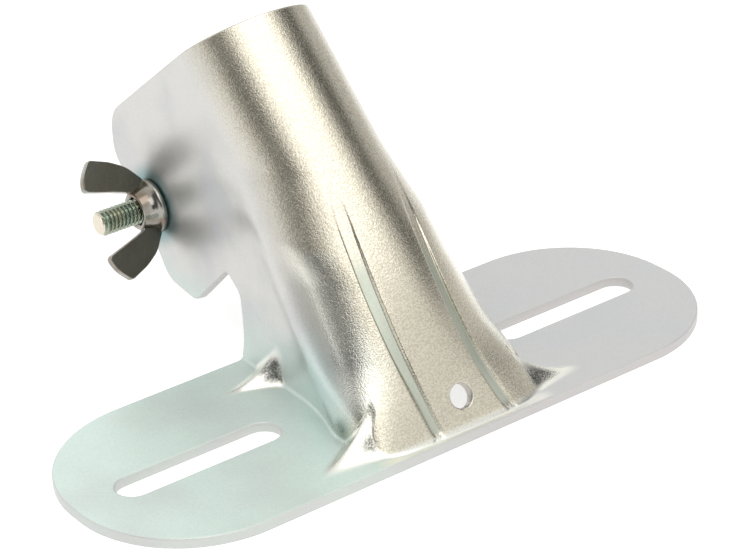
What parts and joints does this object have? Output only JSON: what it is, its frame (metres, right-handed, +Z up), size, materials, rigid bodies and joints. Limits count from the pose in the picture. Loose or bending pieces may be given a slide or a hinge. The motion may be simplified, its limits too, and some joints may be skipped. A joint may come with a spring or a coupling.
{
  "type": "handle socket bracket",
  "caption": "Pressed sheet bracket with two slotted feet and a socket leaning back at 45 degrees, clamped on a pole by a bolt and a wing nut.",
  "frame": {"origin": "centre of the bounding box in plan, on the underside of the two feet", "axes": "+X along the feet, away from the wing nut; +Y from the front lip towards the clamp ears; +Z up, out of the feet"},
  "size_m": [0.16, 0.1108, 0.0785],
  "materials": {
    "zinc_sheet": "blue-passivated zinc plate, half bright, fine orange-peel grain",
    "zinc_steel": "zinc plate with a greenish tint, rolled thread",
    "zinc_casting": "bright zinc plate"
  },
  "bodies": {
    "bracket": {"bracket": "zinc_sheet"},
    "clamp_bolt": {"clamp_bolt": "zinc_steel"},
    "wing_nut": {"wing_nut": "zinc_casting"}
  },
  "joints": [
    {"name": "wing_nut_turn", "type": "hinge", "parent": "bracket", "child": "wing_nut", "pos_m": [-0.0169, 0.0393, 0.0269], "axis": [-1, 0, 0], "range_deg": [0, 2880]},
    {"name": "bolt_travel", "type": "slide", "parent": "bracket", "child": "clamp_bolt", "axis": [1, 0, 0], "range_m": [0, 0.008]}
  ],
  "couplings": [
    {"joint": "bolt_travel", "follows": "wing_nut_turn", "m_per_rad": 0.00015915}
  ]
}
